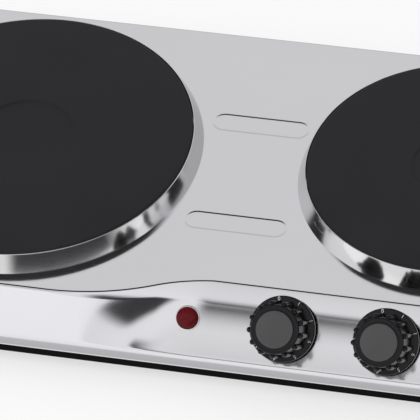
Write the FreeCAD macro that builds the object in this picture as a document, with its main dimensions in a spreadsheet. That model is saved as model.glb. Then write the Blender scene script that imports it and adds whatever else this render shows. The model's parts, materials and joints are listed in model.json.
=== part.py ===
import FreeCAD, Part
import math
import os
import re
import Sketcher

# A free-standing electric hot plate with a large and a small cast-iron plate.
# Millimetres, +Z up, origin on the floor under the middle of the overall box.

vec = FreeCAD.Vector
doc = FreeCAD.newDocument("HotPlate")
nodes = {}

sizes = {
    # cooking plates and what lies under them, measured from the deck
    "large_plate_diameter": 177.0,
    "small_plate_diameter": 152.4,
    "plate_gap": 62.1,
    "plate_rise": 10.3,
    "plate_edge": 0.9,
    "large_recess_radius": 25.5,
    "small_recess_radius": 22.0,
    "recess_depth": 0.8,
    "recess_slope": 0.9,
    "rim_width": 8.0,
    "skirt_wall": 6.0,
    "skirt_gap": 0.4,
    "boss_radius": 14.0,
    "ledge_height": 2.0,
    "ring_flare": 4.9,
    "ring_thickness": 0.8,
    "ring_lip": 0.4,
    "ring_lip_drop": 0.5,
    "ring_gap": 0.3,
    "ring_reach": 4.0,
    "element_tube_radius": 3.0,
    "element_gap": 0.2,
    "terminal_spread": 24.0,
    "pin_reach": 4.0,
    "pin_clearance": 0.6,
    "insulation_thickness": 6.0,
    "insulation_gap": 0.4,
    "shield_thickness": 0.8,
    "bridge_thickness": 2.0,
    "bridge_width": 16.0,
    "bridge_overlap": 0.5,
    "stud_radius": 2.9,
    "stud_depth": 8.0,
    "stud_tip_gap": 0.5,
    "stud_tail": 4.0,
    "thread_clearance": 0.1,
    "clamp_nut_across": 10.0,
    "clamp_nut_height": 5.0,
    "cutout_offset": 35.0,
    "cutout_radius": 7.5,
    "cutout_height": 8.0,
    "cutout_flange_length": 24.0,
    "cutout_flange_width": 10.0,
    "cutout_flange_thickness": 1.0,
    # flat push-on terminals
    "tab_width": 6.3,
    "tab_thickness": 0.8,
    "tab_length": 7.0,
    # steel housing
    "steel_thickness": 1.0,
    "deck_margin": 9.2,
    "front_margin": 6.6,
    "side_draft": 6.0,
    "front_draft": 9.8,
    "panel_run": 26.2,
    "panel_drop": 26.5,
    "panel_scoop": 2.26,
    "flange_height": 8.3,
    "deck_corner": 16.0,
    "deck_lip": 2.0,
    "panel_lip": 8.0,
    "swoop_long": 54.8,
    "swoop_short": 28.8,
    "swoop_to_knob": 38.55,
    "hole_lip": 3.0,
    "near_slot_length": 53.6,
    "far_slot_length": 51.5,
    "near_slot_offset": 2.5,
    "far_slot_offset": -0.8,
    "slot_width": 11.8,
    "slot_depth": 0.4,
    "slot_pitch": 73.0,
    "slot_middle": -1.5,
    # base pan and feet
    "pan_thickness": 0.8,
    "pan_band": 5.6,
    "pan_lap": 7.2,
    "pan_gap": 0.2,
    "foot_height": 9.6,
    "foot_radius": 11.0,
    "foot_taper": 1.5,
    "foot_inset": 38.0,
    "foot_bore_depth": 5.0,
    "foot_bore_radius": 4.8,
    "foot_screw_radius": 2.0,
    "foot_screw_head_radius": 4.2,
    "foot_screw_head": 2.4,
    "foot_screw_length": 10.0,
    "foot_nut_across": 7.0,
    "foot_nut_height": 3.2,
    "screw_clearance": 0.2,
    "base_screw_radius": 1.6,
    "base_screw_head_radius": 3.0,
    "base_screw_head": 1.8,
    "base_screw_length": 6.0,
    "side_screw_spread": 120.0,
    "back_screw_spread": 240.0,
    # controls on the front panel
    "control_level": 0.52,
    "knob_pitch": 53.7,
    "knob_offset": 13.45,
    "lamp_to_knob": 50.3,
    "shaft_radius": 3.0,
    "shaft_clearance": 0.05,
    "shaft_sink": 9.0,
    "shaft_reach": 16.0,
    "shaft_flat": 2.1,
    "flat_start": 6.0,
    "knob_lift": 3.2,
    "knob_height": 24.5,
    "skirt_radius": 17.0,
    "skirt_thickness": 2.4,
    "skirt_round": 0.8,
    "grip_root_radius": 13.2,
    "grip_front_radius": 12.6,
    "knob_wall": 2.2,
    "hub_radius": 6.0,
    "hub_lift": 5.5,
    "knob_roof": 4.0,
    "nub_radius": 1.5,
    "nub_circle": 13.3,
    "nub_count": 13.0,
    "cap_radius": 9.6,
    "cap_sink": 1.0,
    "cap_proud": 1.1,
    "cap_gap": 0.05,
    "thermostat_width": 30.0,
    "thermostat_height": 23.0,
    "thermostat_depth": 17.0,
    "bushing_radius": 5.0,
    "bushing_reach": 3.0,
    "bushing_clearance": 0.3,
    "thermostat_screw_spread": 23.0,
    "thermostat_screw_radius": 1.45,
    "thermostat_screw_head_radius": 2.7,
    "thermostat_screw_head": 1.6,
    "thermostat_screw_length": 8.0,
    "seat_gap": 0.1,
    "terminal_pitch": 16.0,
    "lens_radius": 5.6,
    "lens_edge": 1.2,
    "lens_dome": 2.0,
    "lamp_lift": 0.5,
    "bezel_width": 0.6,
    "bezel_height": 1.3,
    "lamp_barrel_radius": 4.7,
    "lamp_barrel_length": 18.0,
    "lamp_collar_radius": 6.6,
    "lamp_collar": 1.6,
    "lamp_clearance": 0.3,
    # mains entry in the back wall
    "gland_height": 33.0,
    "gland_offset": 35.0,
    "gland_bore_radius": 4.0,
    "gland_barrel_radius": 7.0,
    "gland_flange_radius": 10.0,
    "gland_flange": 3.0,
    "gland_nose": 6.0,
    "gland_nose_radius": 6.4,
    "gland_nose_taper": 1.0,
    "gland_tail": 9.0,
    "gland_clearance": 0.2,
    "gland_nut_across": 19.0,
    "gland_nut_height": 4.0,
    "block_length": 32.0,
    "block_width": 18.0,
    "block_height": 14.0,
    "block_inset": 42.0,
    "block_screw_radius": 2.2,
    "block_screw_height": 1.4,
    "block_screw_pitch": 9.0,
    "earth_offset": 30.0,
    "earth_stud_radius": 2.0,
    "earth_stud_height": 12.0,
    "earth_nut_across": 7.0,
    "earth_nut_height": 3.2,
    "lead_diameter": 2.4,
    "lead_gap": 0.2,
    "lead_run": 20.0,
}

sheet = doc.addObject("Spreadsheet::Sheet", "Sizes")
for row, (alias, value) in enumerate(sizes.items(), 1):
    sheet.set("A%d" % row, alias)
    sheet.set("B%d" % row, str(value))
    sheet.setAlias("B%d" % row, alias)
doc.recompute()


def size(alias):
    return sheet.get(alias)


def tied(text):
    # turns the sheet's names inside a formula into references to its cells
    def reference(word):
        return ("Sizes." if word.group() in sizes else "") + word.group()

    return re.sub(r"[a-z_]{3,}", reference, str(text))


# Ways to make a piece

def bind(thing, **formulas):
    # a formula stays tied to the sheet, a plain number is set as it is
    for name, formula in formulas.items():
        if isinstance(formula, str):
            thing.setExpression(name, tied(formula))
        else:
            setattr(thing, name, formula)
    return thing


def outlineSketch(body, role, corners):
    # a closed outline of straight lines, each corner placed by two formulas
    sketch = body.newObject("Sketcher::SketchObject", body.Name + "_outline")
    plane = [feature for feature in body.Origin.OriginFeatures if feature.Role == role][0]
    sketch.AttachmentSupport = [(plane, "")]
    sketch.MapMode = "FlatFace"
    count = len(corners)
    turn = 2 * math.pi / count
    start = [vec(math.cos(turn * i), math.sin(turn * i), 0) for i in range(count)]
    sketch.addGeometry([Part.LineSegment(start[i], start[(i + 1) % count]) for i in range(count)], False)
    rules = [Sketcher.Constraint("Coincident", i, 2, (i + 1) % count, 1) for i in range(count)]
    for i in range(count):
        rules.append(Sketcher.Constraint("DistanceX", -1, 1, i, 1, start[i].x))
        rules.append(Sketcher.Constraint("DistanceY", -1, 1, i, 1, start[i].y))
    sketch.addConstraint(rules)
    for i, (across, up) in enumerate(corners):
        sketch.setExpression("Constraints[%d]" % (count + 2 * i), tied(across))
        sketch.setExpression("Constraints[%d]" % (count + 2 * i + 1), tied(up))
    return sketch


def turned(name, corners):
    # a round piece: corners are (radius, height) round the Z axis
    body = doc.addObject("PartDesign::Body", name)
    sketch = outlineSketch(body, "XZ_Plane", corners)
    turn = body.newObject("PartDesign::Revolution", name + "_turn")
    turn.Profile = sketch
    turn.ReferenceAxis = (sketch, ["V_Axis"])
    turn.Angle = 360
    return body


def padded(name, role, corners, length):
    # a prism that stands half on each side of its outline's plane
    body = doc.addObject("PartDesign::Body", name)
    pad = body.newObject("PartDesign::Pad", name + "_pad")
    pad.Profile = outlineSketch(body, role, corners)
    pad.Midplane = True
    return bind(pad, Length=length) and body


def rod(name, radius, height, base=vec()):
    cylinder = bind(doc.addObject("Part::Cylinder", name), Radius=radius, Height=height)
    cylinder.Placement.Base = base
    return cylinder


def block(name, length, width, height, base=vec()):
    # a box whose middle stands over base
    box = bind(doc.addObject("Part::Box", name), Length=length, Width=width, Height=height)
    doc.recompute()
    box.Placement.Base = base - vec(box.Length.Value / 2, box.Width.Value / 2, 0)
    return box


def hexagon(name, across, height, hole, base=vec()):
    prism = doc.addObject("Part::Prism", name + "_hexagon")
    prism.Polygon = 6
    bind(prism, Circumradius="(%s) / sqrt(3)" % across, Height=height)
    nut = cut(name, prism, [rod(name + "_hole", hole, height)])
    nut.Placement.Base = base
    return nut


def fused(name, pieces):
    whole = doc.addObject("Part::MultiFuse", name)
    whole.Shapes = pieces
    return whole


def cut(name, piece, tools):
    result = doc.addObject("Part::Cut", name)
    result.Base = piece
    result.Tool = tools[0] if len(tools) == 1 else fused(name + "_tools", tools)
    return result


def formed(name, shape):
    feature = doc.addObject("Part::Feature", name)
    feature.Shape = shape
    return feature


def keep(label, piece, place=None):
    # names a finished piece; its file takes this label
    piece.Label = label
    if place is not None:
        piece.Placement = place.multiply(piece.Placement)
    nodes[label] = piece


def keepCopies(label, master, places):
    # like pieces in one node, each a solid of its own
    doc.recompute()
    copies = []
    for place in places:
        copy = master.Shape.copy()
        copy.Placement = place.multiply(copy.Placement)
        copies.append(copy)
    keep(label, formed(label, Part.makeCompound(copies)))


def at(x, y, z, axis=vec(0, 0, 1), angle=0):
    return FreeCAD.Placement(vec(x, y, z), FreeCAD.Rotation(axis, angle))


# Where things stand, worked out from the driving sizes with the large plate's centre at x = y = 0

largeRadius = size("large_plate_diameter") / 2
smallRadius = size("small_plate_diameter") / 2
steel = size("steel_thickness")
ringAndMargin = size("ring_flare") + size("deck_margin")

panZ = size("foot_height")
hemZ = panZ + size("pan_band")
bendZ = hemZ + size("flange_height")
deckZ = bendZ + size("panel_drop")
floorZ = panZ + size("pan_thickness")

smallX = largeRadius + smallRadius + size("plate_gap")
smallY = largeRadius - smallRadius
slotX = largeRadius + size("plate_gap") / 2
rightKnobX = smallX - size("knob_offset")
leftKnobX = rightKnobX - size("knob_pitch")
leftLampX = leftKnobX - size("lamp_to_knob")
rightLampX = rightKnobX + size("lamp_to_knob")
swoopEnd = leftKnobX - size("swoop_to_knob")
swoopMid = swoopEnd - size("swoop_short")
swoopStart = swoopMid - size("swoop_long")

flangeLeft = -largeRadius - ringAndMargin - size("side_draft")
flangeRight = smallX + smallRadius + ringAndMargin + size("side_draft")
backY = largeRadius + ringAndMargin
frontY = -largeRadius - size("ring_flare") - size("front_margin") - size("front_draft")

controlLevel = size("control_level")


def frontLine(level):
    # front edge of the shell at the left and at the control panel; level 0 is the deck, 1 the flange
    scoop = 4 * level * (1 - level) * size("panel_scoop") / math.cos(panelChord)
    left = frontY + size("front_draft") * (1 - level)
    right = frontY + size("panel_run") * (1 - level) + scoop
    return left, right


panelChord = math.atan2(size("panel_run"), size("panel_drop"))
panelRise = frontLine(controlLevel - 0.01)[1] - frontLine(controlLevel + 0.01)[1]
panelTilt = math.atan2(panelRise, 0.02 * size("panel_drop"))
panelSkin = steel * (math.cos(panelTilt) + math.sin(panelTilt) * (1 - controlLevel)) + size("seat_gap")

# the box runs from the knobs to the gland's nose, and this shift puts its middle over the origin
knobCorners = [
    (size("skirt_radius"), size("knob_lift") + size("skirt_thickness") - size("skirt_round")),
    (size("nub_circle") + size("nub_radius"), size("knob_height") - size("skirt_round")),
    (size("grip_front_radius") - size("skirt_round"), size("knob_height")),
    (size("cap_radius") - size("cap_proud") / 2, size("knob_height") + 0.8 * size("cap_proud")),
]
knobReach = max(math.sin(panelTilt) * across + math.cos(panelTilt) * out for across, out in knobCorners)
knobFrontY = frontLine(controlLevel)[1] - knobReach
noseY = backY + size("gland_flange") + size("gland_nose")
shift = vec(-(flangeLeft + flangeRight) / 2, -(min(knobFrontY, frontY) + noseY) / 2, 0)


def here(x, y, z):
    return vec(x, y, z) + shift


# Housing


def swoopAngle(level):
    left, right = frontLine(level)
    return 2 * math.atan((right - left) / (swoopEnd - swoopStart))


def shellOutline(level, inset, z):
    # one level line of the shell: a rounded rectangle whose front steps back in an S to the control panel
    draft = size("side_draft") * (1 - level)
    left, right = flangeLeft + draft + inset, flangeRight - draft - inset
    back = backY - inset
    leftFront, rightFront = [y + inset for y in frontLine(level)]
    corner = size("deck_corner") + size("side_draft") * level - inset
    bulge = corner * (1 - math.sqrt(0.5))

    def line(x0, y0, x1, y1):
        return Part.LineSegment(here(x0, y0, z), here(x1, y1, z)).toShape()

    def arc(x0, y0, xm, ym, x1, y1):
        return Part.Arc(here(x0, y0, z), here(xm, ym, z), here(x1, y1, z)).toShape()

    edges = [
        line(swoopEnd, rightFront, right - corner, rightFront),
        arc(right - corner, rightFront, right - bulge, rightFront + bulge, right, rightFront + corner),
        line(right, rightFront + corner, right, back - corner),
        arc(right, back - corner, right - bulge, back - bulge, right - corner, back),
        line(right - corner, back, left + corner, back),
        arc(left + corner, back, left + bulge, back - bulge, left, back - corner),
        line(left, back - corner, left, leftFront + corner),
        arc(left, leftFront + corner, left + bulge, leftFront + bulge, left + corner, leftFront),
        line(left + corner, leftFront, swoopStart, leftFront),
    ]
    sweep = swoopAngle(level)
    if sweep < 1e-6:
        edges.append(line(swoopStart, leftFront, swoopMid, leftFront))
        edges.append(line(swoopMid, leftFront, swoopEnd, rightFront))
        return Part.Wire(edges)
    longRadius = size("swoop_long") / math.sin(sweep)
    shortRadius = size("swoop_short") / math.sin(sweep)

    def rising(angle):
        return swoopStart + longRadius * math.sin(angle), leftFront + longRadius * (1 - math.cos(angle))

    def settling(angle):
        return swoopEnd - shortRadius * math.sin(angle), rightFront - shortRadius * (1 - math.cos(angle))

    edges.append(arc(swoopStart, leftFront, *rising(sweep / 2), *rising(sweep)))
    edges.append(arc(*rising(sweep), *settling(sweep / 2), swoopEnd, rightFront))
    return Part.Wire(edges)


def shellSolid(name, inset):
    # the shell as a full body: a scooped hood on a straight flange, its deck edge rolled over;
    # the rolled lip widens along the S from the plain front to the control panel
    top = deckZ - inset
    heights = [top, (top + bendZ) / 2, bendZ]
    wires = [shellOutline(level, inset, z) for level, z in zip((0.0, 0.5, 1.0), heights)]
    hood = formed(name + "_hood", Part.makeLoft(wires, True, False))
    narrow, wide = size("deck_lip") - inset, size("panel_lip") - inset

    def lipAt(corner):
        share = (corner.X - shift.x - swoopStart) / (swoopEnd - swoopStart)
        return narrow if corner.Y > shift.y else narrow + (wide - narrow) * min(max(share, 0.0), 1.0)

    lips = []
    for number, edge in enumerate(hood.Shape.Edges, 1):
        if all(abs(corner.Z - top) < 1e-4 for corner in edge.Vertexes):
            lips.append((number, lipAt(edge.Vertexes[0]), lipAt(edge.Vertexes[1])))
    rolled = doc.addObject("Part::Fillet", name + "_rolled_hood")
    rolled.Base = hood
    rolled.Edges = lips
    doc.recompute()
    flange = Part.Face(wires[-1]).extrude(vec(0, 0, hemZ - bendZ))
    return rolled.Shape.fuse(flange).removeSplitter()


def obround(name, grow, bottom, top):
    # a round-ended block in the place of the near or the far slot
    radius = size("slot_width") / 2 + grow
    reach = (size(name + "_slot_length") - size("slot_width")) / 2
    x = slotX + size(name + "_slot_offset")
    y = size("slot_middle") + (-1 if name == "near" else 1) * size("slot_pitch") / 2
    middle = Part.makeBox(2 * reach, 2 * radius, top - bottom, here(x - reach, y - radius, bottom))
    ends = [Part.makeCylinder(radius, top - bottom, here(x + side * reach, y, bottom)) for side in (-1, 1)]
    return middle.multiFuse(ends).removeSplitter()


def panelFrame(x):
    # a frame on the panel's outer face at the controls' height: X along the panel, Z straight out of it
    def frontAt(level):
        left, right = frontLine(level)
        run = swoopEnd - x
        if run <= 0 or swoopAngle(level) < 1e-6:
            return right, 0.0
        radius = size("swoop_short") / math.sin(swoopAngle(level))
        depth = math.sqrt(radius ** 2 - run ** 2)
        return right - radius + depth, run / depth

    y, slope = frontAt(controlLevel)
    along = vec(1, slope, 0).normalize()
    rise = frontAt(controlLevel - 0.01)[0] - frontAt(controlLevel + 0.01)[0]
    up = vec(0, rise, 0.02 * size("panel_drop"))
    out = along.cross(up).normalize()
    turn = FreeCAD.Rotation(along, out.cross(along), out, "ZXY")
    return FreeCAD.Placement(here(x, y, deckZ - controlLevel * size("panel_drop")), turn)


knobFrames = {"left": panelFrame(leftKnobX), "right": panelFrame(rightKnobX)}
lampFrames = {"left": panelFrame(leftLampX), "right": panelFrame(rightLampX)}
plateCentres = {"large": here(0, 0, deckZ), "small": here(smallX, smallY, deckZ)}
glandSpot = here(slotX - size("gland_offset"), backY, size("gland_height"))
glandPlace = FreeCAD.Placement(glandSpot, FreeCAD.Rotation(vec(1, 0, 0), -90))

screwZ = (hemZ + bendZ) / 2
sideScrewYs = [(frontY + backY) / 2 + side * size("side_screw_spread") / 2 for side in (-1, 1)]
backScrewXs = [(flangeLeft + flangeRight) / 2 + side * size("back_screw_spread") / 2 for side in (-1, 1)]
baseScrewPlaces = []
for side, x in ((1, flangeLeft), (-1, flangeRight)):
    inward = FreeCAD.Rotation(vec(0, 1, 0), side * 90)
    baseScrewPlaces += [FreeCAD.Placement(here(x, y, screwZ), inward) for y in sideScrewYs]
forward = FreeCAD.Rotation(vec(1, 0, 0), 90)
baseScrewPlaces += [FreeCAD.Placement(here(x, backY, screwZ), forward) for x in backScrewXs]


def drilled(shape, frame, radius, x=0.0, reach=None):
    # a hole along a frame's Z axis, through any wall near its origin
    reach = reach or 6 * steel
    drill = Part.makeCylinder(radius, 2 * reach, vec(x, 0, -reach))
    drill.Placement = frame
    return shape.cut(drill)


def topHousing():
    shell = shellSolid("outer", 0.0).cut(shellSolid("inner", steel))
    sunk = size("slot_depth")
    for name in ("near", "far"):
        shell = shell.fuse(obround(name, steel, deckZ - steel - sunk, deckZ - steel))
        shell = shell.cut(obround(name, 0.0, deckZ - sunk, deckZ))
    for name, radius in (("large", largeRadius), ("small", smallRadius)):
        below = plateCentres[name] - vec(0, 0, 2 * steel)
        shell = shell.cut(Part.makeCylinder(radius - size("hole_lip"), 4 * steel, below))
    for frame in knobFrames.values():
        shell = drilled(shell, frame, size("bushing_radius") + size("bushing_clearance"))
        for side in (-1, 1):
            screwX = side * size("thermostat_screw_spread") / 2
            shell = drilled(shell, frame, size("thermostat_screw_radius") + size("screw_clearance"), screwX)
    for frame in lampFrames.values():
        shell = drilled(shell, frame, size("lamp_barrel_radius") + size("lamp_clearance"))
    shell = drilled(shell, glandPlace, size("gland_barrel_radius") + size("gland_clearance"))
    for place in baseScrewPlaces:
        shell = drilled(shell, place, size("base_screw_radius") + size("screw_clearance"))
    return shell.removeSplitter()


keep("top_housing", formed("top_housing", topHousing()))


# Base pan with its feet and screws

def panBlock(name, inset, bottom, top):
    # a rounded block that follows the inside of the shell's flange
    corner = size("deck_corner") + size("side_draft") - inset
    box = doc.addObject("Part::Box", name + "_box")
    box.Length = flangeRight - flangeLeft - 2 * inset
    box.Width = backY - frontY - 2 * inset
    box.Height = top - bottom
    box.Placement.Base = here(flangeLeft + inset, frontY + inset, bottom)
    doc.recompute()
    rounded = doc.addObject("Part::Fillet", name)
    rounded.Base = box
    for number, edge in enumerate(box.Shape.Edges, 1):
        if abs(edge.tangentAt(edge.FirstParameter).z) > 0.5:
            rounded.Edges = rounded.Edges + [(number, corner, corner)]
    return rounded


panTop = hemZ + size("pan_lap")
panInset = steel + size("pan_gap")
footXs = [flangeLeft + size("foot_inset"), flangeRight - size("foot_inset")]
footYs = [frontY + size("foot_inset"), backY - size("foot_inset")]
footSpots = {
    "front_left_foot": here(footXs[0], footYs[0], 0),
    "front_right_foot": here(footXs[1], footYs[0], 0),
    "back_left_foot": here(footXs[0], footYs[1], 0),
    "back_right_foot": here(footXs[1], footYs[1], 0),
}
footHole = "foot_screw_radius + screw_clearance"
earthSpot = here(slotX - size("earth_offset"), backY - size("block_inset"), 0)

panWall = size("pan_thickness")
panTools = [panBlock("pan_inside", panInset + panWall, floorZ, panTop + panWall)]
for spot in footSpots.values():
    below = spot + vec(0, 0, panZ - panWall)
    panTools.append(rod("pan_foot_hole", footHole, "4 * pan_thickness", below))
for place in baseScrewPlaces:
    hole = rod("pan_screw_hole", "base_screw_radius + screw_clearance", "base_screw_length")
    hole.Placement = place
    panTools.append(hole)
keep("base_pan", cut("base_pan", panBlock("pan_outside", panInset, panZ, panTop), panTools))

for label, spot in footSpots.items():
    foot = turned(label, [
        (footHole, "foot_bore_depth"), ("foot_bore_radius", "foot_bore_depth"), ("foot_bore_radius", 0),
        ("foot_radius - foot_taper", 0), ("foot_radius", "foot_height"), (footHole, "foot_height")])
    keep(label, foot, FreeCAD.Placement(spot, FreeCAD.Rotation()))

headBottom = "foot_bore_depth - foot_screw_head"
screwTip = "foot_bore_depth + foot_screw_length"
footScrew = turned("foot_screw", [
    (0, headBottom), ("foot_screw_head_radius", headBottom), ("foot_screw_head_radius", "foot_bore_depth"),
    ("foot_screw_radius", "foot_bore_depth"), ("foot_screw_radius", screwTip), (0, screwTip)])
footThread = "foot_screw_radius + thread_clearance"
footNut = hexagon("foot_nut", "foot_nut_across", "foot_nut_height", footThread, vec(0, 0, floorZ))
footPlaces = [FreeCAD.Placement(spot, FreeCAD.Rotation()) for spot in footSpots.values()]
keepCopies("foot_screws", footScrew, footPlaces)
keepCopies("foot_nuts", footNut, footPlaces)

baseScrew = turned("base_screw", [
    (0, "-base_screw_head"), ("base_screw_head_radius * 0.7", "-base_screw_head"),
    ("base_screw_head_radius", "-base_screw_head / 2"), ("base_screw_head_radius", 0),
    ("base_screw_radius", 0), ("base_screw_radius", "base_screw_length"), (0, "base_screw_length")])
keepCopies("base_screws", baseScrew, baseScrewPlaces)


# Cooking plates and what hangs under them, each in a frame on the deck under its plate's centre

insulationTop = "(ledge_height - 2 * element_gap - 2 * element_tube_radius)"
shieldTop = "(%s - insulation_thickness)" % insulationTop
shieldBottom = "(%s - shield_thickness)" % shieldTop
bridgeBottom = "(%s - bridge_thickness)" % shieldBottom
studHole = "stud_radius + thread_clearance"

insulationTopZ = size("ledge_height") - 2 * size("element_gap") - 2 * size("element_tube_radius")
shieldTopZ = insulationTopZ - size("insulation_thickness")
shieldBottomZ = shieldTopZ - size("shield_thickness")
bridgeBottomZ = shieldBottomZ - size("bridge_thickness")
elementZ = size("ledge_height") - size("element_gap") - size("element_tube_radius")
pinBottomZ = shieldBottomZ - size("pin_reach")
pinTips = {}


def burner(name):
    radius = "%s_plate_diameter / 2" % name
    recess = "%s_recess_radius" % name
    skirtOuter = radius + " - rim_width"
    skirtInner = skirtOuter + " - skirt_wall"
    place = FreeCAD.Placement(plateCentres[name], FreeCAD.Rotation())

    plate = turned(name + "_plate", [
        (0, "plate_rise - recess_depth"), (recess + " - recess_slope", "plate_rise - recess_depth"),
        (recess, "plate_rise"), (radius + " - plate_edge", "plate_rise"),
        (radius, "plate_rise - plate_edge"), (radius, "ledge_height"), (skirtOuter, "ledge_height"),
        (skirtOuter, shieldTop + " + skirt_gap"), (skirtInner, shieldTop + " + skirt_gap"),
        (skirtInner, "ledge_height"), ("boss_radius", "ledge_height"), ("boss_radius", shieldTop),
        (studHole, shieldTop), (studHole, shieldTop + " + stud_depth"), (0, shieldTop + " + stud_depth")])
    keep(name + "_plate", plate, place)

    # the trim ring's wall is a plain cone from its lip down to the deck
    inside = radius + " + ring_gap"
    lipTop = "plate_rise - ring_lip_drop"
    slope = "(ring_flare - ring_gap - ring_lip) / (plate_rise - ring_lip_drop)"
    foot = radius + " + ring_flare - ring_thickness - %s * (ledge_height - ring_thickness)" % slope
    ring = turned(name + "_trim_ring", [
        (radius + " - ring_reach", "ledge_height"), (inside, "ledge_height"), (inside, lipTop),
        (inside + " + ring_lip", lipTop), (radius + " + ring_flare", 0),
        (radius + " + ring_flare - ring_thickness", 0), (foot, "ledge_height - ring_thickness"),
        (radius + " - ring_reach", "ledge_height - ring_thickness")])
    keep(name + "_trim_ring", ring, place)

    # the sheathed element is a ring open at the front, with a pin down through the shield at each end
    skirtRadius = size(name + "_plate_diameter") / 2 - size("rim_width") - size("skirt_wall")
    elementRadius = (size("boss_radius") + skirtRadius) / 2
    halfSpread = size("terminal_spread") / 2
    opening = math.degrees(math.asin(halfSpread / elementRadius))
    pinY = -math.sqrt(elementRadius ** 2 - halfSpread ** 2)
    pinSpots = [vec(side * halfSpread, pinY, 0) for side in (-1, 1)]
    loop = bind(doc.addObject("Part::Torus", name + "_loop"), Radius2="element_tube_radius")
    loop.Radius1 = elementRadius
    loop.Angle3 = 360 - 2 * opening
    loop.Placement = at(0, 0, elementZ, angle=opening - 90)
    parts = [loop]
    for spot in pinSpots:
        down = vec(spot.x, spot.y, pinBottomZ)
        parts.append(rod(name + "_pin", "element_tube_radius", elementZ - pinBottomZ, down))
        tabSpot = down - vec(0, 0, size("tab_length"))
        parts.append(block(name + "_tab", "tab_width", "tab_thickness", "tab_length", tabSpot))
    keep(name + "_heating_element", fused(name + "_heating_element", parts), place)
    tipDrop = vec(0, 0, pinBottomZ - size("tab_length"))
    pinTips[name] = [plateCentres[name] + spot + tipDrop for spot in pinSpots]

    def pinHoles():
        holes = []
        for spot in pinSpots:
            down = vec(spot.x, spot.y, pinBottomZ)
            holes.append(rod(name + "_pin_hole", "element_tube_radius + pin_clearance", -pinBottomZ, down))
        return holes

    insulation = turned(name + "_insulation_disc", [
        ("boss_radius + insulation_gap", insulationTop), (skirtInner + " - insulation_gap", insulationTop),
        (skirtInner + " - insulation_gap", shieldTop), ("boss_radius + insulation_gap", shieldTop)])
    keep(name + "_insulation", cut(name + "_insulation", insulation, pinHoles()), place)

    shield = turned(name + "_shield_disc", [
        (studHole, shieldTop), (skirtOuter, shieldTop), (skirtOuter, shieldBottom),
        (studHole, shieldBottom)])
    keep(name + "_heat_shield", cut(name + "_heat_shield", shield, pinHoles()), place)

    legOuter = radius + " + bridge_overlap"
    legInner = legOuter + " - bridge_thickness"
    bar = padded(name + "_bridge_bar", "XZ_Plane", [
        ("-(%s)" % legOuter, "-steel_thickness"), ("-(%s)" % legOuter, bridgeBottom),
        (legOuter, bridgeBottom), (legOuter, "-steel_thickness"), (legInner, "-steel_thickness"),
        (legInner, shieldBottom), ("-(%s)" % legInner, shieldBottom),
        ("-(%s)" % legInner, "-steel_thickness")], "bridge_width")
    below = vec(0, 0, bridgeBottomZ - size("bridge_thickness"))
    studWay = rod(name + "_stud_way", studHole, "4 * bridge_thickness", below)
    keep(name + "_clamp_bridge", cut(name + "_clamp_bridge", bar, [studWay]), place)

    studBottomZ = bridgeBottomZ - size("clamp_nut_height") - size("stud_tail")
    studTopZ = shieldTopZ + size("stud_depth") - size("stud_tip_gap")
    stud = rod(name + "_clamp_stud", "stud_radius", studTopZ - studBottomZ, vec(0, 0, studBottomZ))
    keep(name + "_clamp_stud", stud, place)
    nutBase = vec(0, 0, bridgeBottomZ - size("clamp_nut_height"))
    nut = hexagon(name + "_clamp_nut", "clamp_nut_across", "clamp_nut_height", studHole, nutBase)
    keep(name + "_clamp_nut", nut, place)

    seat = vec(0, size("cutout_offset"), shieldBottomZ - size("cutout_flange_thickness"))
    under = seat - vec(0, 0, size("cutout_height"))
    cutout = [
        block(name + "_cutout_flange", "cutout_flange_length", "cutout_flange_width",
              "cutout_flange_thickness", seat),
        rod(name + "_cutout_can", "cutout_radius", "cutout_height", under)]
    for side in (-1, 1):
        tab = block(name + "_cutout_tab", "tab_thickness", "tab_width", "tab_length",
                    under + vec(side * size("cutout_radius") / 2, 0, -size("tab_length")))
        cutout.append(tab)
    keep(name + "_thermal_cutout", fused(name + "_thermal_cutout", cutout), place)


for plateName in ("large", "small"):
    burner(plateName)


# Controls, each in a frame on the panel's outer face

thermostatTips = {}


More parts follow.
